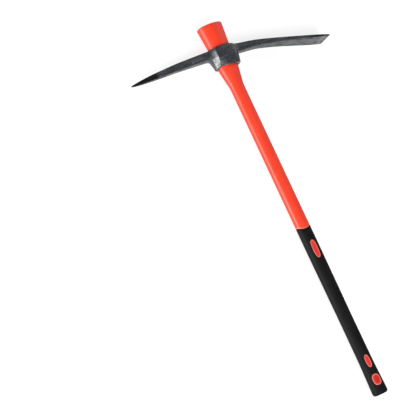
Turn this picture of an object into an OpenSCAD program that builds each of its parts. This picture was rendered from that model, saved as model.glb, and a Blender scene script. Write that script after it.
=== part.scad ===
// Pick with one pointed arm and one chisel arm, on an oval moulded handle.
// The tool lies on its side: X runs along the arms, with the point at -X and the
// chisel at +X, Y runs along the handle towards the head, and Z is up.
// The origin is under the middle of the whole tool.

/* [Handle] */
// Length of the handle, crown to butt
handle_length = 914; // [880:1:940]
// Width of the crown, the flared end that stands above the head
crown_width = 62.5; // [60:0.5:65]
// How far the crown stands above the head
crown_rise = 56; // [50:1:62]
// Width of the oval shaft
shaft_width = 33.2; // [31:0.2:35]
// Width over thickness of the shaft and the grip
shaft_oval = 1.25; // [1.2:0.01:1.3]
// Diameter of the reinforcing rod
core_diameter = 15; // [12:0.5:16]

/* [Grip] */
// Length of the soft sleeve, measured at its narrow sides
grip_length = 407; // [380:1:440]
// Width of the sleeve near its top
grip_width = 33.4; // [32:0.2:35]
// Width of the sleeve at the flared butt
butt_width = 36.6; // [35:0.2:39]
// Wall of the sleeve
grip_wall = 2.2; // [1.8:0.1:2.6]
// Length of the oval window near the top of the sleeve
window_length = 43; // [36:1:48]
// Width of the oval window
window_width = 14; // [10:0.5:16]

/* [Head] */
// Reach of the pointed arm from the handle's axis
pick_reach = 235; // [220:1:250]
// Reach of the chisel arm from the handle's axis
chisel_reach = 260; // [245:1:275]
// Width of the chisel's cutting edge
edge_width = 57; // [54:1:62]
// Depth of the eye along the handle
eye_depth = 53; // [50:1:56]
// Length of the eye's outside along the arms
eye_length = 69.5; // [68:0.5:73]
// Thickness of the head over the cheeks of the eye
cheek_thickness = 51; // [49:0.5:53]
// Width of the handle in the top of the eye
seat_top_width = 52.6; // [51:0.2:54]
// Width of the handle in the bottom of the eye
seat_bottom_width = 48.4; // [47:0.2:50]
// Width over thickness of the crown and the seat
seat_oval = 1.45; // [1.42:0.01:1.5]

/* [Hidden] */

// Sides of a section, of a window's outline and of a round bar
section_sides = 32;
window_sides = 40;
bar_sides = 64;
// Steps between the rings of each stretch, and the turn between rings that round an edge
covered_steps = 13;
shaft_steps = 3;
neck_steps = 14;
flare_steps = 10;
bore_steps = 8;
sleeve_steps = 16;
pad_steps = 6;
crown_turn = 30;
butt_turn = 22.5;
// Squareness of the sections: 2 is an ellipse, larger is squarer
handle_power = 2.25;
arm_power = 4.5;
eye_power = 2.7;
// Gap between the eye and the flare it wedges on, between pieces moulded on one another,
// and between the sleeve's top edge and the shoulder it butts on
seat_gap = 0.3;
bond_gap = 0.05;
edge_gap = 0.2;
// How far a cut runs past the face it opens
overcut = 4;

// Stations along the handle
crown_y = handle_length / 2;
butt_y = -handle_length / 2;
eye_top_y = crown_y - crown_rise;
eye_bottom_y = eye_top_y - eye_depth;
grip_y = butt_y + grip_length;

// The handle's axis in the tool's frame
axis_x = (pick_reach - chisel_reach) / 2;
axis_z = edge_width / 2;

// Neck under the eye: its straight start, its end on the shaft, and the easing of its corners
neck_start = 5.5;
neck_end = 45;
neck_length = 66;
neck_swell = 0.6;
neck_ease = 7;
// Top of the crown: edge rounding, dome height and flat middle as a share of the width
crown_round = 3.4;
crown_dome = 1.6;
crown_flat = 0.55;
dome_shares = [0.8, crown_flat];

// Sleeve: dip of its top edge on the broad faces, top bevel, butt rounding and closed end
grip_dip = 6.5;
grip_bevel = 0.5;
butt_round = 6.5;
butt_wall = 6;
butt_flare = 70;
waist_rise = 175;
waist_width = grip_width - 1.8;
grip_shoulder = 60;
grip_ease = 14;
// Even rings of the sleeve keep this far from its top edge and from its butt
edge_band = 3 * grip_dip;
butt_band = 3 * butt_round;
// Windows of the sleeve: distance from the butt, length, width
windows = [
    [350, window_length, window_width],
    [78, 30, 12.5],
    [34, 26, 20]
];
// The pads in the windows stay a little under the sleeve's skin, and are drawn a little longer
// than the windows that trim them
pad_depth = 0.4;
pad_margin = 1;

// Plug in the top of the crown, over the end of the rod
plug_diameter = 19;
plug_cap = 2.5;
plug_stem = 10;
// The rod stops short of the butt
core_stop = 14;
core_top_y = crown_y - plug_cap - plug_stem;

// Stations of the pointed arm: distance from the handle's axis as a share of the reach,
// depth of the arm's middle under the eye's top, half height, half width
pick_arm = [
    [0.00, 13.5, 11, 11.5],
    [0.20, 13.5, 10, 11],
    [0.50, 14.2, 8.5, 8.8],
    [0.80, 17.9, 6.3, 6.1],
    [0.95, 20.2, 3.4, 3.2],
    [1.00, 20.7, 1.3, 1.2]
];
// Stations of the chisel arm, the same way
chisel_arm = [
    [0.00, 14.5, 11, 11.5],
    [0.20, 17.4, 9.7, 11],
    [0.34, 20.3, 7.8, 12],
    [0.57, 34, 5.5, 17.5],
    [0.80, 50, 3.9, 23.5],
    [0.93, 59, 2.8, 26.8],
    [1.00, 64, 0.5, edge_width / 2]
];
// Shares of the reach where an arm has its rings, closer together at its end
arm_shares = concat(spread(0.05, 0.9, 17), [0.93, 0.95, 0.97, 0.985, 1]);
arm_ease = 0.05;

// Outside of the eye: depth under its top as a share, how far it is drawn in along the
// arms and at the cheeks, and how far it rises at the cheeks. The first and the last
// row lie inside the bore.
eye_steps = [
    [0.00, 14, 12, 0],
    [0.01, 8.5, 6, -1.5],
    [0.03, 5, 3.2, -1.5],
    [0.07, 2, 1.2, -1.2],
    [0.13, 0, 0, 0],
    [0.50, 0, 0, 0],
    [0.77, 2, 2.5, 0.3],
    [0.95, 3.2, 3.2, 0.8],
    [1.00, 5, 5, 1],
    [1.00, 14, 12, 0]
];

// Values from one to another in even steps, with and without the first
function spread(from, to, steps) = [for (i = [0 : steps]) from + (to - from) * i / steps];
function onward(from, to, steps) = [for (i = [1 : steps]) from + (to - from) * i / steps];

// A table's value at a place, with the table's corners eased over a radius
ease_taps = 4;
function eased(at, table, radius) =
    let (taps = [for (k = [-ease_taps : ease_taps]) lookup(at + radius * k / ease_taps, table)])
    [for (v = taps) 1] * taps / len(taps);

// Rounded section with half sizes a and b
function signed_power(v, p) = sign(v) * pow(abs(v), p);
function section(a, b, power) = [
    for (i = [0 : section_sides - 1])
        let (t = 360 * i / section_sides)
        [a * signed_power(cos(t), 2 / power), b * signed_power(sin(t), 2 / power)]
];

// A ring across the handle, and a ring across an arm
function handle_ring(y, a, b, power = handle_power) =
    [for (p = section(a, b, power)) [p[0], y, -p[1]]];
function arm_ring(x, y, a, b) =
    [for (p = section(a, b, arm_power)) [x, y + p[0], p[1]]];

// A ring lifted along the handle where it is thickest
function lifted(ring, b, lift) = [for (p = ring) [p[0], p[1] + lift * pow(p[2] / b, 2), p[2]]];

// Closed skin over rings that follow one another, with flat ends
module loft(rings) {
    sides = len(rings[0]);
    last = len(rings) - 1;
    polyhedron(
        points = [for (ring = rings) each ring],
        faces = concat(
            [[for (i = [0 : sides - 1]) i]],
            [[for (i = [sides - 1 : -1 : 0]) last * sides + i]],
            [for (r = [0 : last - 1], i = [0 : sides - 1])
                let (j = (i + 1) % sides, low = r * sides, high = low + sides)
                each [[low + i, high + i, high + j], [low + i, high + j, low + j]]]
        )
    );
}

// Round bar along the handle between two stations
module bar(from, to, diameter) {
    translate([0, from, 0]) rotate([-90, 0, 0]) cylinder(h = to - from, d = diameter, $fn = bar_sides);
}

// Everything is drawn about the handle's axis, then set down on its side
module lying() translate([axis_x, 0, axis_z]) children();

// Half width of the bare handle at a station
handle_widths = [
    [eye_bottom_y - neck_length, shaft_width / 2],
    [eye_bottom_y - neck_end, shaft_width / 2 + neck_swell / 2],
    [eye_bottom_y - neck_start, seat_bottom_width / 2 - neck_swell],
    [eye_bottom_y, seat_bottom_width / 2],
    [eye_top_y, seat_top_width / 2],
    [crown_y, crown_width / 2]
];
function handle_half_width(y) = eased(y, handle_widths, neck_ease);

// Width over thickness of the bare handle, from the shaft's oval to the flatter seat
handle_ovals = [[eye_bottom_y - neck_length, shaft_oval], [eye_bottom_y, seat_oval]];
function handle_ring_at(y, extra = 0) =
    let (a = handle_half_width(y), b = a / lookup(y, handle_ovals))
    handle_ring(y, a + extra, b + extra);

// Half width of the sleeve at a station
grip_widths = [
    [butt_y, butt_width / 2],
    [butt_y + butt_flare, waist_width / 2 + neck_swell / 2],
    [butt_y + waist_rise, waist_width / 2],
    [grip_y - grip_shoulder, grip_width / 2],
    [grip_y, grip_width / 2]
];
function grip_half_width(y) = eased(y, grip_widths, grip_ease);
function grip_ring_at(y, inset) =
    let (a = grip_half_width(y))
    handle_ring(y, a - inset, a / shaft_oval - inset);

// The sleeve's top edge dips towards the butt on the broad faces
function top_edge_ring(half_width, inset, drop) =
    let (a = half_width - inset, b = half_width / shaft_oval - inset)
    lifted(handle_ring(grip_y - drop, a, b), b, -grip_dip);

// Stations where the jacket and the sleeve's bore both have their rings
covered_stations = onward(butt_y + butt_wall, grip_y - edge_band, covered_steps);

// The jacket under the sleeve, the shoulder it butts on, the shaft, the neck and the crown
function jacket_rings() =
    let (
        under = grip_wall + bond_gap,
        covered = [for (y = concat([butt_y + butt_wall], covered_stations)) grip_ring_at(y, under)],
        shoulder = [top_edge_ring(grip_width / 2, under, 0), top_edge_ring(shaft_width / 2, 0, 0)],
        neck_y = eye_bottom_y - neck_length,
        rim_y = crown_y - crown_dome - crown_round,
        bare = concat(
            spread(grip_y + grip_dip, neck_y, shaft_steps),
            onward(neck_y, eye_bottom_y, neck_steps),
            onward(eye_bottom_y, rim_y, flare_steps)
        ),
        shaft = [for (y = bare) handle_ring_at(y)],
        a = handle_half_width(rim_y),
        b = a / seat_oval,
        rounding = [for (t = [crown_turn : crown_turn : 90])
            let (inset = crown_round * (1 - cos(t)))
            handle_ring(rim_y + crown_round * sin(t), a - inset, b - inset)],
        dome = [for (k = dome_shares)
            handle_ring(crown_y - crown_dome * (k - crown_flat) / (1 - crown_flat), k * a, k * b)]
    )
    concat(covered, shoulder, shaft, rounding, dome);

// Outside of the sleeve, from the flat butt to the dipped top edge, and on into the bore
function sleeve_rings() =
    let (
        rounding = [for (t = [0 : butt_turn : 90])
            grip_ring_at(butt_y + butt_round * (1 - cos(t)), butt_round * (1 - sin(t)))],
        stations = spread(butt_y + butt_band, grip_y - edge_band, sleeve_steps),
        body = [for (y = stations) grip_ring_at(y, 0)],
        top = [
            top_edge_ring(grip_width / 2, 0, 2 * grip_bevel),
            top_edge_ring(grip_width / 2, grip_bevel, edge_gap),
            top_edge_ring(grip_width / 2, grip_wall + overcut, edge_gap)
        ]
    )
    concat(rounding, body, top);

// A window's prism through the whole thickness of the grip
module window_prism(window, inset) {
    half_width = window[2] / 2 - inset;
    half_length = window[1] / 2 - inset;
    turns = [for (i = [0 : window_sides - 1]) 360 * i / window_sides];
    translate([0, butt_y + window[0], -butt_width / 2])
        linear_extrude(butt_width)
            polygon([for (t = turns) [half_width * cos(t), half_length * sin(t)]]);
}

// Raised pads of the jacket that fill one window, on both faces
module window_pads(window) {
    middle = butt_y + window[0];
    reach = window[1] / 2 + pad_margin;
    stations = spread(middle - reach, middle + reach, pad_steps);
    intersection() {
        window_prism(window, 2 * bond_gap);
        loft([for (y = stations) grip_ring_at(y, pad_depth)]);
    }
}

// An arm's ring at a share of its reach; side is -1 for the point and 1 for the chisel
function column(table, c) = [for (row = table) [row[0], row[c]]];
function arm_ring_at(share, table, reach, side) =
    let (ease = min(arm_ease, 1 - share))
    arm_ring(
        side * share * reach,
        eye_top_y - eased(share, column(table, 1), ease),
        eased(share, column(table, 2), ease),
        eased(share, column(table, 3), ease)
    );
function arm_rings() = concat(
    [for (i = [len(arm_shares) - 1 : -1 : 0]) arm_ring_at(arm_shares[i], pick_arm, pick_reach, -1)],
    [for (share = arm_shares) arm_ring_at(share, chisel_arm, chisel_reach, 1)]
);

function eye_rings() = [
    for (i = [len(eye_steps) - 1 : -1 : 0])
        let (
            step = eye_steps[i],
            a = eye_length / 2 - step[1],
            b = cheek_thickness / 2 - step[2]
        )
        lifted(handle_ring(eye_top_y - step[0] * eye_depth, a, b, eye_power), b, step[3])
];

// Forged head: both arms and the eye, with the tapered bore that wedges on the handle
module pick_head() color([0.22, 0.22, 0.24]) lying() difference() {
    union() {
        loft(arm_rings());
        loft(eye_rings());
    }
    stations = spread(eye_bottom_y - overcut, eye_top_y + overcut, bore_steps);
    loft([for (y = stations) handle_ring_at(y, seat_gap)]);
}

// Moulded handle with its bore for the rod and the seat of the plug
module handle_jacket() color([1, 0.27, 0.16]) lying() difference() {
    union() {
        loft(jacket_rings());
        for (window = windows) window_pads(window);
    }
    bar(butt_y + core_stop, crown_y + overcut, core_diameter + 2 * bond_gap);
    bar(crown_y - plug_cap, crown_y + overcut, plug_diameter + 2 * bond_gap);
}

// Reinforcing rod
module core_rod() color([0.85, 0.8, 0.6]) lying()
    bar(butt_y + core_stop, core_top_y, core_diameter);

// Plug with a cap, flush with the top of the crown
module crown_plug() color([0.1, 0.1, 0.1]) lying() {
    bar(core_top_y, crown_y - plug_cap, core_diameter);
    bar(crown_y - plug_cap, crown_y, plug_diameter);
}

// Soft sleeve with its closed butt and its windows
module grip_sleeve() color([0.09, 0.09, 0.1]) lying() difference() {
    loft(sleeve_rings());
    stations = concat([butt_y + butt_wall - bond_gap], covered_stations, [grip_y + overcut]);
    loft([for (y = stations) grip_ring_at(y, grip_wall)]);
    for (window = windows) window_prism(window, 0);
}

pick_head();
handle_jacket();
core_rod();
crown_plug();
grip_sleeve();
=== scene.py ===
"""Pick axe: the looks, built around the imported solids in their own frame.

Shapes are drawn in millimetres about the handle's axis, with X along the arms and the chisel
at +X, Y along the handle towards its crown, and Z up. They are then set into the frame, in metres.
"""
import math

import bpy
import bmesh
from mathutils import Matrix, Vector


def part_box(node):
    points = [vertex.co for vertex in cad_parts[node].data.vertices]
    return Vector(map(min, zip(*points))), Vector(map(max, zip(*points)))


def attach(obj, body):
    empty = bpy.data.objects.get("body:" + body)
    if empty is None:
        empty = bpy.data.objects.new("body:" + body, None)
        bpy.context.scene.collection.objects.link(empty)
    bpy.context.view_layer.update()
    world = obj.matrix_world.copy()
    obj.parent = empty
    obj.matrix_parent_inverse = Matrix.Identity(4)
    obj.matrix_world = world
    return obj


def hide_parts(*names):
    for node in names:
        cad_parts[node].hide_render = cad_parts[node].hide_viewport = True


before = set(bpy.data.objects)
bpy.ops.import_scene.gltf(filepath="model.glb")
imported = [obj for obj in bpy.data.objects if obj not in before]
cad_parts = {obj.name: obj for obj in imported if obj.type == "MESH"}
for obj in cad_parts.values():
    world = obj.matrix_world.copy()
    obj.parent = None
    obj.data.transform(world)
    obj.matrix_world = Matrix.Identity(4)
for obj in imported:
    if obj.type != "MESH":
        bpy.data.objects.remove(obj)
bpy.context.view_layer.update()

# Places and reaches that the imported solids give
MM = 0.001
plug_low, plug_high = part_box("crown_plug")
head_low, head_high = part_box("pick_head")
grip_low, grip_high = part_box("grip_sleeve")
axis = (plug_low + plug_high) / 2
crown_y = plug_high.y / MM
butt_y = grip_low.y / MM
grip_y = grip_high.y / MM
pick_reach = (axis.x - head_low.x) / MM
chisel_reach = (head_high.x - axis.x) / MM
edge_width = (head_high.z - head_low.z) / MM
to_frame = Matrix.Translation((axis.x, 0, axis.z)) @ Matrix.Scale(MM, 4)

# Handle
crown_width = 62.5
crown_rise = 56
crown_round = 3.4
crown_turn = math.pi / 3
crown_dome = 1.6
crown_flat = 0.55
shaft_width = 33.2
shaft_oval = 1.25
handle_power = 2.25
neck_start = 5.5
neck_end = 45
neck_length = 66
neck_swell = 0.6
neck_ease = 7
# The mould's parting seam: its rise, and the share of it at a number of degrees from its middle
seam_rise = 0.14
seam_profile = [(0, 1), (1, 0.45), (2.2, 0)]
core_diameter = 15
core_stop = 14
plug_diameter = 19
plug_cap = 2.5
plug_stem = 10
plug_chamfer = 0.6
# Rim of the plug's cap: inset from its radius and depth. The gate mark in its middle: radius and depth
plug_rim = [(0, 0.5), (0.15, 0.15), (0.5, 0)]
gate_mark = [(3.2, 0), (2.9, 0.1), (2.6, 0.5), (1.2, 0.6)]
# Chamfer of the plug's seat in the crown, outwards and downwards
seat_chamfer = (0.5, 0.4)
bond_gap = 0.05

# Grip
grip_width = 33.4
waist_width = 31.6
waist_rise = 175
butt_width = 36.6
butt_flare = 70
butt_round = 6.5
butt_wall = 6
grip_wall = 2.2
grip_dip = 6.5
grip_shoulder = 60
grip_ease = 14
grip_bevel = 0.6
# The sleeve's windowed wall: its start over the butt and its end under the top edge
wall_start = 2 * butt_round
wall_drop = 3 * grip_dip
# Rings round the sleeve's top edge: inset and drop, in shares of its bevel
bevel_rings = [(0, 2.2), (0.3, 1.3), (1, 1)]
# Rings of the butt's flat end, in shares of its width
butt_rings = (0.8, 0.5, 0.2)
# Shoulder of the handle over the sleeve's top edge: inset of its foot, and rise of its rings
shoulder_inset = 0.5
shoulder_rises = [0.4, 1, 1.8, 2.8]
# Windows: distance from the butt, length, width, and the colour mark in the middle of the pad
windows = [(350, 43, 14, 1), (78, 30, 12.5, 1.1), (34, 26, 20, 1.5)]
# Their roundness, the wall's margin round them, their lip, and the share of it where the lip is eased
window_power = 2.6
window_margin = 2.4
window_lip = 0.6
lip_ease = 0.3
# Rings of a window's pad: inset from the window's edge, depth under the sleeve's skin, and
# its colour mark: 0.5 on the pale rim, 1 and more in the deep middle
pad_rings = [
    (0.1, 3.2, 0.4),
    (0.1, 1.1, 0.45),
    (0.25, 0.7, 0.5),
    (0.6, 0.45, 0.5),
    (1.1, 0.4, 0.5),
    (1.7, 0.45, 0.6),
    (2.6, 0.95, 0.95),
]
pad_middle = 1 / 3

# Head
eye_depth = 53
eye_length = 69.5
cheek_thickness = 51
seat_top_width = 52.6
seat_bottom_width = 48.4
seat_oval = 1.45
bore_gap = 0.75
# Stations of an arm: share of its reach, depth of its middle under the eye's top,
# half height, half width
pick_arm = [
    (0.00, 13.5, 11, 11.5),
    (0.20, 13.5, 10, 11),
    (0.50, 14.2, 8.5, 8.8),
    (0.80, 17.9, 6.3, 6.1),
    (0.95, 20.2, 3.4, 3.2),
    (1.00, 20.7, 1.3, 1.2),
]
chisel_arm = [
    (0.00, 14.5, 11, 11.5),
    (0.20, 17.4, 9.7, 11),
    (0.34, 20.3, 7.8, 12),
    (0.57, 34, 5.5, 17.5),
    (0.80, 50, 3.9, 23.5),
    (0.93, 59, 2.8, 26.8),
    (1.00, 64, 0.5, edge_width / 2),
]
# Shares of the reach where an arm has its loops, closer together where its finish changes
pick_shares = [0.175, 0.21, 0.27, 0.34, 0.42, 0.5, 0.58, 0.65, 0.705, 0.725, 0.8, 0.87, 0.93]
pick_shares += [0.97, 0.99, 1]
chisel_shares = [0.16, 0.195, 0.25, 0.31, 0.37, 0.44, 0.52, 0.6, 0.7, 0.8, 0.88, 0.922, 0.936]
chisel_shares += [0.96, 0.985, 1]
# Past these shares the point is blackened and the chisel's faces are ground bare
dark_share = 0.715
ground_share = 0.93
# How black the chisel's narrow sides and corners are at a share of its reach, how far its corners and
# its edge are worn towards the end, how far its corners are ground, and how far the eye's rims are worn
side_dark = [(0.72, 0), (0.92, 0.9), (1, 1)]
chisel_wear = [(0.7, 1), (0.9, 0.6)]
corner_ground = 0.4
rim_wear = 0.55
# The chisel's last loops are crisp at their corners
crisp_loops = 4
edge_crease = 0.8
# Points of an arm's loop: at its corners, on its faces and on its narrow sides
arm_corners = (0, 3, 6, 9)
arm_faces = (1, 2, 7, 8)
arm_sides = (4, 5, 10, 11)
# Plan of the eye from a nose to a cheek's corner: inset from the nose, share of the half thickness.
# The pick's slants narrow to a lug under its arm.
pick_plan = [(0, 0.157), (0.8, 0.443), (8, 0.7), (13.2, 0.984)]
lug_plan = [(0, 0.08), (0.5, 0.18), (4.2, 0.43), (9.2, 0.76)]
chisel_plan = [(0, 0.157), (0.8, 0.443), (3.8, 0.79), (10.5, 0.975)]
# The cheek's flat: distance from the handle's axis, shares of the half thickness there without and with
# a lug, and the share at the cheek's middle
cheek_flat = 9.5
cheek_shares = (1.008, 0.95)
cheek_crown = 1.012
# Rise of the eye's bottom edge on the lug's side, at a distance from the handle's axis
lug_rise = [(-31.5, 1.6), (-25, 4.4), (-9.5, 1.6), (0, 0)]
# Fall of the eye's top edge on the chisel's side, at a distance from the handle's axis, and the depth
# over which it fades
top_fall = [(cheek_flat, 0), (18, 2), (27, 2), (33, 0)]
fall_depth = 10
# Rows of the eye's outside: depth under its top, draw-in at the pick's nose, at the chisel's nose and
# at the cheeks, rise at the cheeks, and how far the lug is reached. The arms leave the eye between
# the rows given by arm_rows.
eye_rows = [
    (0.5, 5.2, 7.4, 3.6, -1.4, 0),
    (2.6, 1.2, 3.2, 0.9, -1.4, 0),
    (10, -0.2, 0.4, 0, 0, 0),
    (17.5, -0.2, -0.2, 0, 0, 0),
    (25, 0.2, 0, 0, 0, 0),
    (31, 1.2, 0.4, 0.2, 0, 0.15),
    (eye_depth - 16, 2.3, 1.1, 0.5, 0.1, 0.42),
    (eye_depth - 12, 2.8, 2.0, 0.9, 0.2, 0.58),
    (eye_depth - 8.5, 2.8, 2.7, 1.3, 0.4, 0.75),
    (eye_depth - 5, 2.8, 3.3, 1.7, 0.6, 0.95),
    (eye_depth - 2.5, 3.0, 3.7, 2.1, 0.8, 1),
    (eye_depth - 0.3, 3.8, 4.6, 2.7, 1, 1),
]
arm_rows = (1, 4)
# Columns of the eye's loops where the arms leave it, and columns that are creased, with their sharpness
pick_columns = [12, 11, 10, 9]
chisel_columns = [20, 21, 0, 1]
eye_creases = [(3, 0.3), (18, 0.3), (7, 1), (14, 1)]
# Rows of the bore: depth under the eye's top, how far it opens, rise at the cheeks, and how far the lug
# is reached
bore_rows = [
    (1, 0.9, -1.4, 0),
    (2.2, 0, 0, 0),
    (14, 0, 0, 0),
    (26, 0, 0, 0),
    (eye_depth - 11, 0, 0, 0.4),
    (eye_depth - 2.6, 0, 0, 1),
    (eye_depth - 1.4, 0.9, 1, 1),
]
arm_ease = 0.05
# Points beside an arm's corners: distance from the corner, how far it shrinks along the arm, and the
# largest share of the arm's half height or half width
edge_support = 3.85
support_taper = 0.5
support_limit = 0.55
# A chip in the lacquer of the pick arm: how far along the arm, depth under the eye's top, height over
# the handle's axis, radius
chip_along = 78.5
chip_depth = 17
chip_height = 10.5
chip_radius = 3.4
# Lacquer left black on one corner of the chisel's end: radius
corner_radius = 13
# Smudges at the cutting edge: place across it and radius, and how dark they are
smudges = [(4, 8), (-12, 11)]
smudge_dark = 0.5

# Steps round a ring and a window, and along the stretches of the handle and the sleeve
ring_steps = 64
window_steps = 48
sleeve_steps = 96
under_steps = 24
shaft_steps = 18
neck_steps = 24
crown_steps = 20
core_steps = 12
round_steps = 8
# Edges that turn by more than this are shaded sharp
plastic_angle = math.radians(40)
rubber_angle = math.radians(50)

eye_top = crown_y - crown_rise
eye_bottom = eye_top - eye_depth
wall_top = grip_y - wall_drop
chip_place = (-chip_along, eye_top - chip_depth, chip_height)
corner_place = (chisel_reach, eye_top - chisel_arm[-1][1], edge_width / 2)


def lookup(at, table):
    """Straight-line value of (place, value) rows, held level past both ends."""
    if at <= table[0][0]:
        return table[0][1]
    for (x0, y0), (x1, y1) in zip(table, table[1:]):
        if at <= x1:
            return y0 + (y1 - y0) * (at - x0) / (x1 - x0)
    return table[-1][1]


def eased(at, table, radius, taps=4):
    """A table's value with its corners eased over a radius."""
    values = [lookup(at + radius * k / taps, table) for k in range(-taps, taps + 1)]
    return sum(values) / len(values)


def spread(start, end, steps):
    return [start + (end - start) * i / steps for i in range(steps + 1)]


def signed_power(value, power):
    return math.copysign(abs(value) ** power, value)


class Skin:
    """Points, faces, marks and creases of one piece."""

    def __init__(self):
        self.points, self.faces = [], []
        self.marks, self.creases = {}, {}

    def add(self, points):
        first = len(self.points)
        self.points += [tuple(p) for p in points]
        return list(range(first, len(self.points)))

    def bridge(self, low, high):
        """Quads between two closed loops with as many points."""
        for i in range(len(low)):
            j = (i + 1) % len(low)
            self.faces.append((low[i], low[j], high[j], high[i]))

    def loft(self, rings):
        loops = [self.add(ring) for ring in rings]
        for low, high in zip(loops, loops[1:]):
            self.bridge(low, high)
        return loops

    def fan(self, loop):
        """Closes a loop with triangles to its middle."""
        middle = [sum(self.points[i][k] for i in loop) / len(loop) for k in range(3)]
        centre = self.add([middle])[0]
        for i in range(len(loop)):
            self.faces.append((loop[i], loop[(i + 1) % len(loop)], centre))

    def mark(self, name, indices, value):
        self.marks.setdefault(name, {}).update({i: value for i in indices})

    def crease(self, path, value):
        for i, j in zip(path, path[1:]):
            self.creases[tuple(sorted((i, j)))] = value


def build(name, skin, material, body, node, levels=0, sharp_angle=None):
    """A piece from a skin: mesh, marks, creases, shading, and its place in the frame."""
    mesh = bpy.data.meshes.new(name)
    mesh.from_pydata([to_frame @ Vector(p) for p in skin.points], [], skin.faces)
    for mark, values in skin.marks.items():
        layer = mesh.attributes.new(mark, "FLOAT", "POINT")
        for i, value in values.items():
            layer.data[i].value = value
    if skin.creases:
        layer = mesh.attributes.new("crease_edge", "FLOAT", "EDGE")
        for edge in mesh.edges:
            layer.data[edge.index].value = skin.creases.get(tuple(sorted(edge.vertices)), 0)
    work = bmesh.new()
    work.from_mesh(mesh)
    bmesh.ops.recalc_face_normals(work, faces=work.faces)
    for face in work.faces:
        face.smooth = True
    if sharp_angle is not None:
        for edge in work.edges:
            edge.smooth = edge.calc_face_angle(0) < sharp_angle
    work.to_mesh(mesh)
    work.free()
    piece = bpy.data.objects.new(name, mesh)
    bpy.context.scene.collection.objects.link(piece)
    mesh.materials.append(material)
    if levels:
        smooth = piece.modifiers.new("smooth", "SUBSURF")
        smooth.levels = levels
        smooth.render_levels = levels
    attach(piece, body)
    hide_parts(node)


class Shader:
    """A node material around one Principled shader, with the piece's own coordinates."""

    def __init__(self, name):
        self.material = bpy.data.materials.new(name)
        self.material.use_nodes = True
        self.tree = self.material.node_tree
        self.surface = self.tree.nodes["Principled BSDF"]
        self.place = self.node("ShaderNodeTexCoord").outputs["Object"]

    def feed(self, socket, value):
        if isinstance(value, bpy.types.NodeSocket):
            self.tree.links.new(value, socket)
        else:
            socket.default_value = value

    def node(self, kind, inputs=None, **settings):
        made = self.tree.nodes.new(kind)
        for key, value in settings.items():
            setattr(made, key, value)
        for key, value in (inputs or {}).items():
            self.feed(made.inputs[key], value)
        return made

    def set(self, **values):
        for key, value in values.items():
            self.feed(self.surface.inputs[key.replace("_", " ")], value)

    def noise(self, size, stretch=(1, 1, 1), detail=4, roughness=0.55):
        """Noise whose spots are about this size, in millimetres."""
        place = self.node("ShaderNodeMapping", {"Vector": self.place, "Scale": stretch})
        inputs = {
            "Vector": place.outputs["Vector"],
            "Scale": 1 / (size * MM),
            "Detail": detail,
            "Roughness": roughness,
        }
        return self.node("ShaderNodeTexNoise", inputs).outputs["Fac"]

    def mark(self, name):
        return self.node("ShaderNodeAttribute", attribute_name=name).outputs["Fac"]

    def math(self, operation, a, b):
        return self.node("ShaderNodeMath", {0: a, 1: b}, operation=operation).outputs["Value"]

    def steps(self, value, low, high):
        """0 below low, 1 above high, smooth between."""
        inputs = {"Value": value, "From Min": low, "From Max": high}
        made = self.node("ShaderNodeMapRange", inputs, interpolation_type="SMOOTHSTEP")
        return made.outputs["Result"]

    def span(self, value, low, high):
        """A 0 to 1 value spread from low to high."""
        inputs = {"Value": value, "To Min": low, "To Max": high}
        return self.node("ShaderNodeMapRange", inputs).outputs["Result"]

    def blend(self, share, first, second):
        made = self.node("ShaderNodeMix", data_type="RGBA")
        for index, value in ((0, share), (6, first), (7, second)):
            self.feed(made.inputs[index], value)
        return made.outputs[2]

    def patch(self, place, radius, ragged):
        """1 within a ragged patch about a place, 0 outside, in millimetres."""
        inputs = {0: self.place, 1: to_frame @ Vector(place)}
        away = self.node("ShaderNodeVectorMath", inputs, operation="DISTANCE").outputs["Value"]
        away = self.math("MULTIPLY", away, self.span(ragged, 0.4, 1.6))
        return self.math("SUBTRACT", 1.0, self.steps(away, radius * MM / 2, radius * MM))

    def bump(self, height, depth, under=None):
        """Bump whose full height is this deep, in millimetres."""
        inputs = {"Height": height, "Distance": depth * MM}
        if under is not None:
            inputs["Normal"] = under
        return self.node("ShaderNodeBump", inputs).outputs["Normal"]


def grey(level, blue=1.0):
    """A grey, cooler where blue is over 1."""
    return (level, level * (1 + (blue - 1) / 3), level * blue, 1)


# Steel: the lacquer's two tones, its streaks, its specks, the black of its blackened parts and of the
# painted shade along the arms, and the bare metal's two tones
lacquer_tones = (grey(0.019, 1.35), grey(0.033, 1.3))
streak_tone = grey(0.055, 1.2)
speck_tone = grey(0.07, 1.2)
black_and_shade_tone = grey(0.008)
metal_tones = (grey(0.1, 1.03), grey(0.24, 1.03))
# How much the painted shade in streaks along the arms, which dims their reflections, darkens and roughens
# them, and how metallic ground, bare and blackened steel is
arm_shade_share = 0.4
arm_shade_rough = 0.35
ground_metal = 0.75
bare_metal = 0.8
dark_metal = 0.55


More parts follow.
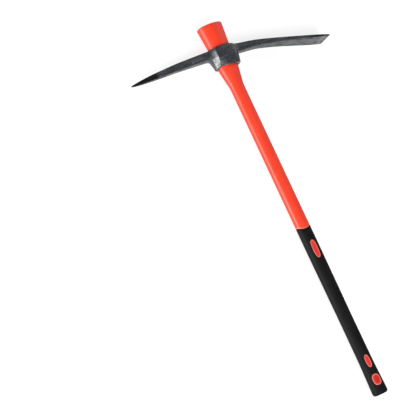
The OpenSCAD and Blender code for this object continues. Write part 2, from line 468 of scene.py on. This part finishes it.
def lacquered_steel():
    """Dark lacquer on forged steel, with painted shade streaked along the arms that dims their reflections,
    worn at the edges and ground at the bevel.
    """
    shader = Shader("lacquered_steel")
    mottle = shader.noise(22, detail=6)
    scale = shader.noise(3.2, detail=5)
    speckle = shader.noise(4.5, detail=3)
    grain = shader.noise(0.7, detail=2)
    streaks = shader.noise(6, stretch=(0.16, 1, 1), detail=5)
    scratches = shader.noise(1.4, stretch=(1, 1, 0.06), detail=3)
    ground = shader.steps(shader.mark("ground"), 0.35, 0.75)
    # Painted shade: streaks along the arms, darkened and roughened, that dim the arms' reflections
    arm_shade = shader.math("SUBTRACT", shader.mark("arm"), shader.steps(streaks, 0.36, 0.5))
    arm_shade = shader.math("MAXIMUM", shader.math("SUBTRACT", arm_shade, ground), 0.0)
    corner = shader.patch(corner_place, corner_radius, scale)
    for across, radius in smudges:
        smudge = shader.patch((*corner_place[:2], across), radius, streaks)
        corner = shader.math("MAXIMUM", corner, shader.math("MULTIPLY", smudge, smudge_dark))
    dark = shader.math("MAXIMUM", shader.mark("dark"), shader.math("MULTIPLY", arm_shade, arm_shade_share))
    dark = shader.math("MAXIMUM", dark, corner)
    paint = shader.blend(shader.steps(mottle, 0.35, 0.7), *lacquer_tones)
    paint = shader.blend(shader.steps(streaks, 0.46, 0.66), paint, streak_tone)
    paint = shader.blend(shader.steps(speckle, 0.52, 0.72), paint, speck_tone)
    paint = shader.blend(dark, paint, black_and_shade_tone)
    ground = shader.math("MULTIPLY", ground, shader.span(scratches, 0.45, 1.15))
    ground = shader.math("SUBTRACT", ground, corner)
    chip = shader.patch(chip_place, chip_radius, scale)
    worn = shader.math("MULTIPLY", shader.mark("edge"), shader.span(scale, 0.2, 1.5))
    worn = shader.math("MAXIMUM", shader.steps(worn, 0.62, 0.95), chip)
    metal = shader.math("MAXIMUM", shader.math("MULTIPLY", ground, ground_metal), worn)
    metallic = shader.math("MULTIPLY", metal, bare_metal)
    metallic = shader.math("MAXIMUM", metallic, shader.math("MULTIPLY", dark, dark_metal))
    rough = shader.math("MULTIPLY", shader.math("MAXIMUM", arm_shade, corner), arm_shade_rough)
    relief = shader.bump(shader.noise(7, detail=3), 0.25)
    relief = shader.bump(scale, 0.08, relief)
    relief = shader.bump(grain, 0.03, relief)
    shader.set(
        Base_Color=shader.blend(metal, paint, shader.blend(scratches, *metal_tones)),
        Metallic=metallic,
        Roughness=shader.math("ADD", shader.span(scale, 0.24, 0.42), rough),
        Normal=relief,
    )
    return shader.material


# Orange: its two tones, its flow marks, its rubbed patches, and the pads' pale rim, middle and deepest tone
orange_tones = ((0.8, 0.031, 0.006, 1), (0.87, 0.04, 0.009, 1))
flow_tone = (0.87, 0.05, 0.015, 1)
rubbed_tone = (0.95, 0.13, 0.07, 1)
rubbed_share = 0.35
rim_tone = (0.68, 0.15, 0.11, 1)
pad_tone = (0.66, 0.026, 0.015, 1)
deep_tone = (0.42, 0.009, 0.006, 1)


def orange_plastic():
    """Glossy moulded polypropylene with faint flow marks and rubbed patches."""
    shader = Shader("orange_plastic")
    flow = shader.noise(9, stretch=(1, 0.08, 1), detail=4)
    mottle = shader.noise(30, detail=4)
    peel = shader.noise(1.6, detail=3)
    rub = shader.noise(2.5, stretch=(1, 0.3, 1), detail=6)
    colour = shader.blend(shader.steps(mottle, 0.3, 0.75), *orange_tones)
    colour = shader.blend(shader.steps(flow, 0.55, 0.75), colour, flow_tone)
    pad = shader.mark("pad")
    colour = shader.blend(shader.steps(pad, 0.1, 0.4), colour, rim_tone)
    colour = shader.blend(shader.steps(pad, 0.55, 0.95), colour, pad_tone)
    colour = shader.blend(shader.steps(pad, 1, 1.5), colour, deep_tone)
    rubbed = shader.math("MULTIPLY", shader.steps(rub, 0.62, 0.8), rubbed_share)
    shader.set(
        Base_Color=shader.blend(rubbed, colour, rubbed_tone),
        Roughness=shader.span(rub, 0.38, 0.55),
        Normal=shader.bump(peel, 0.025, shader.bump(flow, 0.05)),
    )
    return shader.material


# Rubber: its two tones and the dust on it. The plug's and the rod's two tones
rubber_tones = (grey(0.004, 1.1), grey(0.008, 1.08))
dust_tone = grey(0.018, 1.02)
dust_share = 0.5
plug_tones = (grey(0.014), grey(0.03))
fibre_tones = ((0.45, 0.38, 0.2, 1), (0.78, 0.7, 0.46, 1))


def black_rubber():
    """Matt moulded rubber with a fine grain, polished a little where hands hold it."""
    shader = Shader("black_rubber")
    grain = shader.noise(0.55, detail=3)
    pores = shader.noise(1.7, detail=4)
    handled = shader.noise(40, stretch=(1, 0.5, 1), detail=4)
    dust = shader.noise(6, detail=6)
    colour = shader.blend(shader.steps(handled, 0.35, 0.7), *rubber_tones)
    dusty = shader.math("MULTIPLY", shader.steps(dust, 0.6, 0.8), dust_share)
    colour = shader.blend(dusty, colour, dust_tone)
    shader.set(
        Base_Color=colour,
        Roughness=shader.span(handled, 0.5, 0.68),
        Normal=shader.bump(grain, 0.09, shader.bump(pores, 0.06)),
        Specular_IOR_Level=0.1,
    )
    return shader.material


def black_plastic():
    """Hard black plug, slightly rubbed."""
    shader = Shader("black_plastic")
    mottle = shader.noise(4, detail=5)
    grain = shader.noise(0.5, detail=2)
    shader.set(
        Base_Color=shader.blend(mottle, *plug_tones),
        Roughness=shader.span(mottle, 0.32, 0.5),
        Normal=shader.bump(grain, 0.03),
    )
    return shader.material


def glass_fibre():
    """Cured resin rod with fibres along its length."""
    shader = Shader("glass_fibre")
    fibres = shader.noise(1.2, stretch=(1, 0.02, 1), detail=4)
    shader.set(
        Base_Color=shader.blend(fibres, *fibre_tones),
        Roughness=shader.span(fibres, 0.3, 0.5),
        Normal=shader.bump(fibres, 0.08),
    )
    return shader.material


# Sections of the handle: even turns, with closer ones at the mould's parting seam
even_turns = [2 * math.pi * i / ring_steps for i in range(ring_steps)]
seam_offsets = [sign * math.radians(degrees) for sign in (-1, 1) for degrees, share in seam_profile[1:]]
seam_turns = [(side + offset) % (2 * math.pi) for side in (0, math.pi) for offset in seam_offsets]
ring_turns = sorted(even_turns + seam_turns)


def seam(turn):
    """Rise of the parting seam along the narrow sides."""
    off = abs(math.remainder(turn, math.pi))
    return seam_rise * lookup(math.degrees(off), seam_profile)


def oval(turn, a, b, power=handle_power):
    return a * signed_power(math.cos(turn), 2 / power), b * signed_power(math.sin(turn), 2 / power)


def ring(y, a, b, lift=0, with_seam=True):
    points = []
    for turn in ring_turns:
        rise = seam(turn) if with_seam else 0
        x, z = oval(turn, a + rise, b)
        points.append((x, y + lift * (z / b) ** 2, z))
    return points


def round_ring(y, radius):
    return [(radius * math.cos(turn), y, radius * math.sin(turn)) for turn in ring_turns]


handle_widths = [
    (eye_bottom - neck_length, shaft_width / 2),
    (eye_bottom - neck_end, shaft_width / 2 + neck_swell / 2),
    (eye_bottom - neck_start, seat_bottom_width / 2 - neck_swell),
    (eye_bottom, seat_bottom_width / 2),
    (eye_top, seat_top_width / 2),
    (crown_y, crown_width / 2),
]
handle_ovals = [(eye_bottom - neck_length, shaft_oval), (eye_bottom, seat_oval)]
grip_widths = [
    (butt_y, butt_width / 2),
    (butt_y + butt_flare, waist_width / 2 + neck_swell / 2),
    (butt_y + waist_rise, waist_width / 2),
    (grip_y - grip_shoulder, grip_width / 2),
    (grip_y, grip_width / 2),
]


def handle_sizes(y):
    a = eased(y, handle_widths, neck_ease)
    return a, a / lookup(y, handle_ovals)


def grip_sizes(y, inset):
    a = eased(y, grip_widths, grip_ease)
    return a - inset, a / shaft_oval - inset


def top_edge(half_width, inset, drop):
    """Ring at the sleeve's top edge, which dips towards the butt on the broad faces."""
    return ring(grip_y - drop, half_width - inset, half_width / shaft_oval - inset, -grip_dip)


def grip_skin_z(x, y, inset):
    """Height of the sleeve's broad face over a plan point."""
    a, b = grip_sizes(y, inset)
    return b * max(0, 1 - abs(x / a) ** handle_power) ** (1 / handle_power)


def window_pad(skin, window, side):
    """One raised pad of the handle that fills a window, rounded at its rim and dished."""
    distance, length, width, deep = window
    middle = butt_y + distance
    turns = [2 * math.pi * i / window_steps for i in range(window_steps)]

    def loop(inset, depth):
        points = []
        for turn in turns:
            x, along = oval(turn, width / 2 - inset, length / 2 - inset, window_power)
            y = middle + along
            points.append((x, y, side * (grip_skin_z(x, y, 0) - depth)))
        return points

    rows = pad_rings + [(width * pad_middle, pad_rings[-1][1], deep)]
    loops = skin.loft([loop(inset, depth) for inset, depth, colour in rows])
    first = len(skin.points)
    skin.fan(loops[0])
    skin.fan(loops[-1])
    for row, points in zip(rows, loops):
        skin.mark("pad", points, row[2])
    skin.mark("pad", range(first, len(skin.points)), deep)


def handle_jacket(material):
    under = grip_wall + bond_gap
    rings = [ring(y, *grip_sizes(y, under)) for y in spread(butt_y + butt_wall, wall_top, under_steps)]
    rings += [top_edge(grip_width / 2, under, 0), top_edge(shaft_width / 2, shoulder_inset, 0)]
    rim_rows = range(len(rings) - 1, len(rings) + len(shoulder_rises) - 1)
    rings += [top_edge(shaft_width / 2, 0, -rise) for rise in shoulder_rises]
    neck = eye_bottom - neck_length
    rim = crown_y - crown_dome - crown_round
    stations = spread(grip_y + grip_dip, neck, shaft_steps)
    stations += spread(neck, eye_bottom, neck_steps)[1:]
    stations += spread(eye_bottom, rim, crown_steps)[1:]
    rings += [ring(y, *handle_sizes(y)) for y in stations]
    a, b = handle_sizes(rim)
    for turn in spread(0, crown_turn, round_steps)[1:]:
        inset = crown_round * (1 - math.cos(turn))
        shoulder = rim + crown_round * math.sin(turn)
        rings.append(ring(shoulder, a - inset, b - inset, with_seam=False))
    for u in spread(0, 1, round_steps)[1:]:
        share = 1 - inset / a - u * (1 - inset / a - crown_flat)
        y = shoulder + (crown_y - shoulder) * u * (2 - u)
        rings.append(ring(y, share * a, share * b, with_seam=False))
    plug_radius = plug_diameter / 2 + bond_gap
    core_radius = core_diameter / 2 + bond_gap
    chamfer_out, chamfer_down = seat_chamfer
    rings += [round_ring(crown_y, plug_radius + chamfer_out)]
    rings += [round_ring(crown_y - chamfer_down, plug_radius), round_ring(crown_y - plug_cap, plug_radius)]
    rings += [round_ring(crown_y - plug_cap, core_radius)]
    core_top = crown_y - plug_cap - plug_stem
    rings += [round_ring(y, core_radius) for y in spread(core_top, butt_y + core_stop, core_steps)]
    skin = Skin()
    loops = skin.loft(rings)
    skin.fan(loops[0])
    skin.fan(loops[-1])
    for row in rim_rows:
        skin.mark("pad", loops[row], pad_rings[0][2])
    for window in windows:
        for side in (1, -1):
            window_pad(skin, window, side)
    build("handle_jacket_moulded", skin, material, "handle", "handle_jacket",
          sharp_angle=plastic_angle)


def punched_wall(skin, inset, stations, lip):
    """A tube of the sleeve's wall with its windows open. Gives its end loops and the windows' edges."""
    rows = [skin.add(ring(y, *grip_sizes(y, inset))) for y in stations]
    columns = len(ring_turns)
    blocks = []
    for distance, length, width, deep in windows:
        middle = butt_y + distance
        first = max(i for i, y in enumerate(stations) if y < middle - length / 2 - window_margin)
        last = min(i for i, y in enumerate(stations) if y > middle + length / 2 + window_margin)
        for side in (1, -1):
            a, b = grip_sizes(middle, grip_wall)
            inside = [
                c for c, turn in enumerate(ring_turns)
                if side * math.sin(turn) > 0 and abs(oval(turn, a, b)[0]) < width / 2 + window_margin
            ]
            blocks.append((first, last, min(inside), max(inside), middle, length / 2, width / 2, side))
    for r in range(len(rows) - 1):
        for c in range(columns):
            if any(b[0] <= r < b[1] and b[2] <= c < b[3] for b in blocks):
                continue
            d = (c + 1) % columns
            skin.faces.append((rows[r][c], rows[r][d], rows[r + 1][d], rows[r + 1][c]))
    edges = []
    for first, last, left, right, middle, half_length, half_width, side in blocks:
        frame_loop = [rows[first][c] for c in range(left, right)]
        frame_loop += [rows[r][right] for r in range(first, last)]
        frame_loop += [rows[last][c] for c in range(right, left, -1)]
        frame_loop += [rows[r][left] for r in range(last, first, -1)]
        outline = [skin.points[i] for i in frame_loop]
        angles = [math.atan2((p[1] - middle) / half_length, p[0] / half_width) for p in outline]

        def edge_loop(grow, depth):
            points = []
            for angle in angles:
                x, along = oval(angle, half_width + grow, half_length + grow, window_power)
                y = middle + along
                points.append((x, y, side * (grip_skin_z(x, y, inset) - depth)))
            return points

        def halfway(loop):
            points = []
            for p, q in zip(outline, loop):
                x, y = (p[0] + q[0]) / 2, (p[1] + q[1]) / 2
                points.append((x, y, side * grip_skin_z(x, y, inset)))
            return points

        outer = edge_loop(lip, 0)
        loops = [frame_loop, skin.add(halfway(outer)), skin.add(outer)]
        if lip:
            loops.append(skin.add(edge_loop(lip_ease * lip, lip_ease * lip)))
            loops.append(skin.add(edge_loop(0, lip)))
        for low, high in zip(loops, loops[1:]):
            skin.bridge(low, high)
        edges.append(loops[-1])
    return rows[0], rows[-1], edges


def grip_sleeve(material):
    skin = Skin()
    stations = spread(butt_y + wall_start, wall_top, sleeve_steps)
    outer_low, outer_high, outer_edges = punched_wall(skin, 0, stations, window_lip)
    inner_low, inner_high, inner_edges = punched_wall(skin, grip_wall, stations, 0)
    for outer, inner in zip(outer_edges, inner_edges):
        skin.bridge(outer, inner)
    half = grip_width / 2
    rims = [(inset * grip_bevel, drop * grip_bevel) for inset, drop in bevel_rings]
    rims.append((grip_wall, grip_bevel))
    loops = [outer_high] + [skin.add(top_edge(half, inset, drop)) for inset, drop in rims] + [inner_high]
    butt = [outer_low]
    for turn in spread(math.pi / 2, 0, round_steps):
        y = butt_y + butt_round * (1 - math.cos(turn))
        butt.append(skin.add(ring(y, *grip_sizes(y, butt_round * (1 - math.sin(turn))))))
    a, b = grip_sizes(butt_y, butt_round)
    butt += [skin.add(ring(butt_y, share * a, share * b, with_seam=False)) for share in butt_rings]
    pocket = [inner_low, skin.add(ring(butt_y + butt_wall, *grip_sizes(butt_y + butt_wall, grip_wall)))]
    for chain in (loops, butt, pocket):
        for low, high in zip(chain, chain[1:]):
            skin.bridge(low, high)
    skin.fan(butt[-1])
    skin.fan(pocket[-1])
    build("grip_sleeve_moulded", skin, material, "handle", "grip_sleeve",
          sharp_angle=rubber_angle)


def crown_plug(material):
    """Turned plug: stem, cap with a rounded rim, and a shallow gate mark in the middle."""
    radius = plug_diameter / 2
    core = core_diameter / 2
    cap = crown_y - plug_cap
    foot = cap - plug_stem
    profile = [(core - plug_chamfer, foot), (core, foot + plug_chamfer), (core, cap), (radius, cap)]
    profile += [(radius - inset, crown_y - depth) for inset, depth in plug_rim]
    profile += [(mark_radius, crown_y - depth) for mark_radius, depth in gate_mark]
    skin = Skin()
    loops = skin.loft([round_ring(y, r) for r, y in profile])
    skin.fan(loops[0])
    skin.fan(loops[-1])
    build("crown_plug_moulded", skin, material, "handle", "crown_plug",
          sharp_angle=plastic_angle)


def eye_outline(pick_in, chisel_in, cheek_in, lug):
    """Plan of the eye's outside, drawn in at its noses and cheeks: noses, slants and flat cheeks."""
    half = cheek_thickness / 2 - cheek_in

    def quarter(plan, end_plan, nose_in, share):
        nose = eye_length / 2 - nose_in
        points = []
        for (inset, part), (end_inset, end_part) in zip(plan, end_plan):
            x = nose - inset - share * (end_inset - inset)
            points.append((x, (part + share * (end_part - part)) * half))
        flat = cheek_shares[0] + share * (cheek_shares[1] - cheek_shares[0])
        return points + [(cheek_flat, flat * half), (0, cheek_crown * half)]

    pick = quarter(pick_plan, lug_plan, pick_in, lug)
    chisel = quarter(chisel_plan, chisel_plan, chisel_in, 0)
    upper = chisel + [(-x, z) for x, z in pick[-2::-1]]
    return upper + [(-x, -z) for x, z in pick] + [(x, -z) for x, z in chisel[-2::-1]]


def bore_outline(y, grow):
    """Plan of the bore, with one point for each point of the eye's outline."""
    a, b = handle_sizes(y)
    turns = [math.atan2(z / cheek_thickness, x / eye_length) for x, z in eye_outline(0, 0, 0, 0)]
    return [oval(turn, a + bore_gap + grow, b + bore_gap + grow) for turn in turns]


def arm_loop(share, table, reach, side):
    """Twelve points round an arm, from its top's -Z corner, three to a side."""
    ease = min(arm_ease, 1 - share)
    depth, high, wide = (eased(share, [(row[0], row[k]) for row in table], ease) for k in (1, 2, 3))
    support = min(edge_support * (1 - support_taper * share), support_limit * high, support_limit * wide)
    x, y = side * share * reach, eye_top - depth
    inner_z, inner_y = wide - support, high - support
    points = [(high, -wide), (high, -inner_z), (high, inner_z)]
    points += [(high, wide), (inner_y, wide), (-inner_y, wide)]
    points += [(-dy, -dz) for dy, dz in points]
    return [(x, y + dy, dz) for dy, dz in points]


def end_cap(skin, loop):
    """Closes an arm's last loop with nine quads."""
    grid = [loop[0:4]]
    for left, right in ((11, 4), (10, 5)):
        start, end = (Vector(skin.points[loop[i]]) for i in (left, right))
        inner = skin.add([start.lerp(end, 1 / 3), start.lerp(end, 2 / 3)])
        grid.append([loop[left], *inner, loop[right]])
    grid.append(loop[9:5:-1])
    for high, low in zip(grid, grid[1:]):
        for i in range(3):
            skin.faces.append((high[i], high[i + 1], low[i + 1], low[i]))


def pick_head(material):
    skin = Skin()
    half = cheek_thickness / 2
    lifts = [lookup(x, lug_rise) for x, z in eye_outline(*eye_rows[-1][1:4], 1)]

    def eye_loop(plan, depth, rise, lug):
        fall = max(0, 1 - depth / fall_depth)
        points = []
        for (x, z), lift in zip(plan, lifts):
            high = eye_top - depth + rise * (z / half) ** 2
            points.append((x, high + lug * lift - fall * lookup(x, top_fall), z))
        return skin.add(points)

    loops = []
    for depth, pick_in, chisel_in, cheek_in, rise, lug in eye_rows:
        loops.append(eye_loop(eye_outline(pick_in, chisel_in, cheek_in, lug), depth, rise, lug))
    top_row, bottom_row = arm_rows
    columns = len(loops[0])
    for r in range(len(loops) - 1):
        for c in range(columns):
            d = (c + 1) % columns
            behind_arm = any(c in arm and d in arm for arm in (pick_columns, chisel_columns))
            if not (behind_arm and top_row <= r < bottom_row):
                skin.faces.append((loops[r][c], loops[r][d], loops[r + 1][d], loops[r + 1][c]))
    bore = []
    for depth, grow, rise, lug in bore_rows:
        bore.append(eye_loop(bore_outline(eye_top - depth, grow), depth, rise, lug))
    chain = [loops[0]] + bore + [loops[-1]]
    for low, high in zip(chain, chain[1:]):
        skin.bridge(low, high)
    for column, sharpness in eye_creases:
        skin.crease([loop[column] for loop in loops[1:]], sharpness)
    skin.mark("edge", loops[0] + loops[-1], rim_wear)
    for table, shares, reach, side, arm_columns in (
        (pick_arm, pick_shares, pick_reach, -1, pick_columns),
        (chisel_arm, chisel_shares, chisel_reach, 1, chisel_columns),
    ):
        block = [[loops[r][c] for c in arm_columns] for r in range(top_row, bottom_row + 1)]
        port = block[0] + [block[1][3], block[2][3]] + block[3][::-1] + [block[2][0], block[1][0]]
        chain = [port] + [skin.add(arm_loop(share, table, reach, side)) for share in shares]
        for low, high in zip(chain, chain[1:]):
            skin.bridge(low, high)
        end_cap(skin, chain[-1])
        for share, loop in zip(shares[1:], chain[2:]):
            skin.mark("arm", loop, 1)
            corners = [loop[i] for i in arm_corners]
            wear = lookup(share, chisel_wear) if side > 0 else 1
            skin.mark("edge", loop if share == 1 else corners, wear)
            if side > 0:
                sides = [loop[i] for i in arm_sides]
                skin.mark("dark", corners + sides, lookup(share, side_dark))
                if share > ground_share:
                    skin.mark("ground", corners, corner_ground)
                    skin.mark("ground", [loop[i] for i in arm_faces], 1)
            elif share > dark_share:
                skin.mark("dark", loop, 1)
        if side > 0:
            skin.crease(chain[-1] + chain[-1][:1], edge_crease)
            for i in arm_corners:
                skin.crease([loop[i] for loop in chain[-crisp_loops:]], edge_crease)
    build("pick_head_forged", skin, material, "head", "pick_head", levels=3)


def floor(contacts, reach):
    """Pale floor through three points that the head touches as it lies or slides."""
    a, b, c = (to_frame @ Vector(p) for p in contacts)
    normal = (b - a).cross(c - a)
    corners = []
    for x, y in ((-reach, -reach), (reach, -reach), (reach, reach), (-reach, reach)):
        corners.append((x, y, a.z - (normal.x * (x - a.x) + normal.y * (y - a.y)) / normal.z))
    mesh = bpy.data.meshes.new("floor")
    mesh.from_pydata(corners, [], [(0, 1, 2, 3)])
    ground = bpy.data.objects.new("floor", mesh)
    bpy.context.scene.collection.objects.link(ground)
    shader = Shader("floor_white")
    path = shader.node("ShaderNodeLightPath").outputs
    away = shader.node("ShaderNodeVectorMath", {0: shader.place}, operation="LENGTH").outputs["Value"]
    far = shader.span(shader.steps(away, *floor_fade), floor_lift, 1)
    seen = shader.math("MULTIPLY", path["Is Camera Ray"], far)
    mirrored = shader.math("MULTIPLY", path["Is Glossy Ray"], floor_mirrored)
    lift = shader.math("MAXIMUM", seen, mirrored)
    speck = shader.noise(60, detail=3)
    shader.set(
        Base_Color=shader.blend(speck, *floor_tones),
        Roughness=0.9,
        Specular_IOR_Level=0.1,
        Emission_Color=(1, 1, 1, 1),
        Emission_Strength=lift,
    )
    mesh.materials.append(shader.material)


def area_light(name, place, aim, size, power):
    lamp = bpy.data.lights.new(name, "AREA")
    lamp.shape = "RECTANGLE"
    lamp.size, lamp.size_y = size
    lamp.energy = power
    light = bpy.data.objects.new(name, lamp)
    bpy.context.scene.collection.objects.link(light)
    light.location = place
    light.rotation_euler = (Vector(aim) - Vector(place)).to_track_quat("-Z", "Y").to_euler()
    light.visible_camera = False


def white_world(strength):
    world = bpy.data.worlds.new("white_room")
    bpy.context.scene.world = world
    world.use_nodes = True
    tree = world.node_tree
    background = tree.nodes["Background"]
    background.inputs["Color"].default_value = (1, 1, 1, 1)
    path = tree.nodes.new("ShaderNodeLightPath")
    level = tree.nodes.new("ShaderNodeMapRange")
    level.inputs["To Min"].default_value = strength
    level.inputs["To Max"].default_value = 1
    tree.links.new(path.outputs["Is Camera Ray"], level.inputs["Value"])
    tree.links.new(level.outputs["Result"], background.inputs["Strength"])


def camera(place, aim, roll, lens):
    """Camera whose up direction is turned by roll from the handle's own direction."""
    data = bpy.data.cameras.new("camera")
    data.sensor_width = sensor_width
    data.lens = lens
    eye = bpy.data.objects.new("camera", data)
    bpy.context.scene.collection.objects.link(eye)
    bpy.context.scene.camera = eye
    forward = (Vector(aim) - Vector(place)).normalized()
    along = Vector((0, 1, 0))
    level = (along - forward * forward.dot(along)).normalized()
    up = level * math.cos(roll) + forward.cross(level) * math.sin(roll)
    right = forward.cross(up)
    turn = Matrix((right, up, -forward)).transposed().to_4x4()
    eye.matrix_world = Matrix.Translation(place) @ turn


# Camera, from the photograph's perspective
camera_place = (-1.4276, -0.3597, 2.9072)
camera_aim = (-0.203, 0.06962, 0.0285)
camera_roll = math.radians(24.678)
camera_lens = 125.473
sensor_width = 36
# Floor: half its length, its two tones, how far it is lifted towards white near the tool, how bright
# the steel mirrors it, and the distances over which it turns white
floor_reach = 9
floor_tones = (grey(0.3), grey(0.32))
floor_lift = 0.78
floor_mirrored = 0.72
floor_fade = (1.1, 2.2)
# Lights: name, place, size and power, all aimed at one place, and the strength of the room's own light
light_aim = (0, 0.05, 0.03)
lights = [
    ("strip", (-2.6, 0.3, 0.5), (2.6, 0.8), 45),
    ("panel", (-2.55, 0.0, 0.58), (0.8, 0.5), 54),
    ("fill", (2.3, 1.3, 1.5), (1.8, 1.4), 20),
    ("main", (-0.5, -1.9, 2.8), (1.6, 1.6), 92),
]
room_light = 0.2

camera(camera_place, camera_aim, camera_roll, camera_lens)

pick_head(lacquered_steel())
handle_jacket(orange_plastic())
grip_sleeve(black_rubber())
crown_plug(black_plastic())
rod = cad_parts["core_rod"]
rod.data.materials.clear()
rod.data.materials.append(glass_fibre())

chisel_tip = (chisel_reach, eye_top - chisel_arm[-1][1], -edge_width / 2)
cheek_low = (0, eye_top - eye_depth / 2, -cheek_thickness / 2 * cheek_crown)
slid_low = (0, butt_y, cheek_low[2])
floor((chisel_tip, cheek_low, slid_low), floor_reach)
for name, place, size, power in lights:
    area_light(name, place, light_aim, size, power)
white_world(room_light)
bpy.context.scene.view_settings.view_transform = "Standard"
